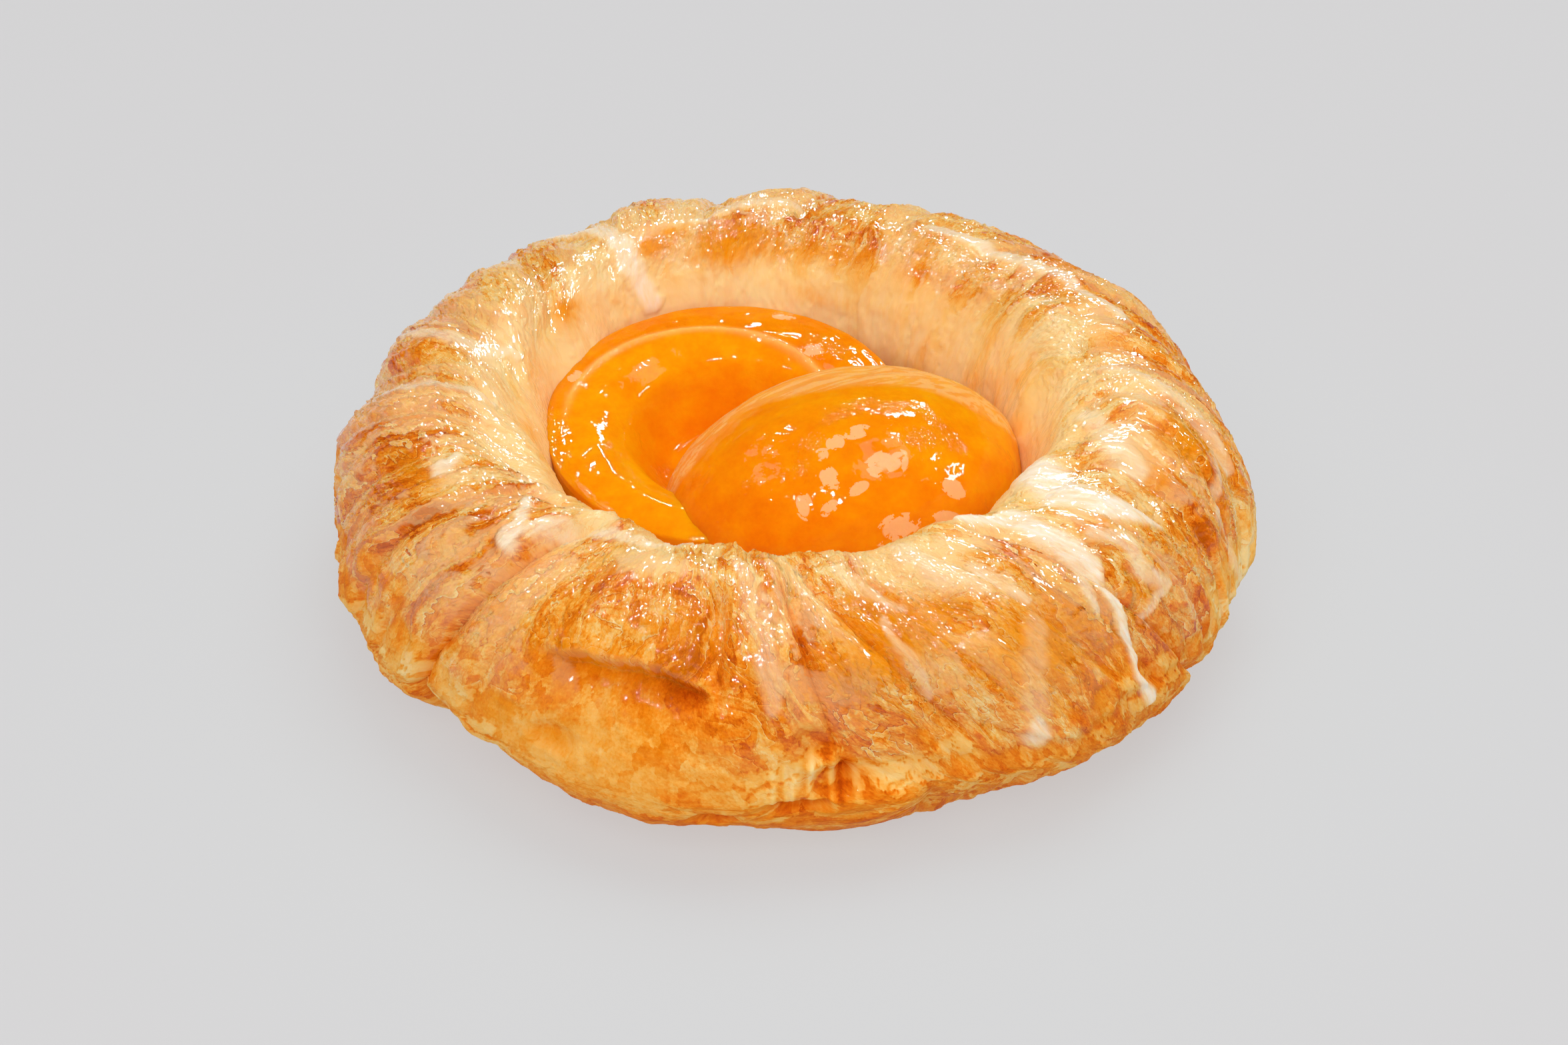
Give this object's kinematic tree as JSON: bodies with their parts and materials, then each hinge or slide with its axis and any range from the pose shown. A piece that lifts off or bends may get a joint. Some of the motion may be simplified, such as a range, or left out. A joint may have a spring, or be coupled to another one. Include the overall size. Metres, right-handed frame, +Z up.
{
  "type": "danish pastry",
  "caption": "Round danish pastry: a ring of twisted, folded, glazed dough round a well that holds apricot halves, with drizzled icing.",
  "frame": {"origin": "under the middle of the pastry's outline, on the surface that it rests on", "axes": "+Z up through the middle of the ring, -Y towards the front of the picture, +X to its right"},
  "size_m": [0.1148, 0.115, 0.034],
  "materials": {
    "baked_dough": "golden baked laminated dough under a clear glaze and thin white icing",
    "apricot_flesh": "wet, slightly translucent poached apricot"
  },
  "bodies": {
    "root": {"pastry": "baked_dough", "apricot_back": "apricot_flesh", "apricot_front": "apricot_flesh"}
  },
  "joints": []
}
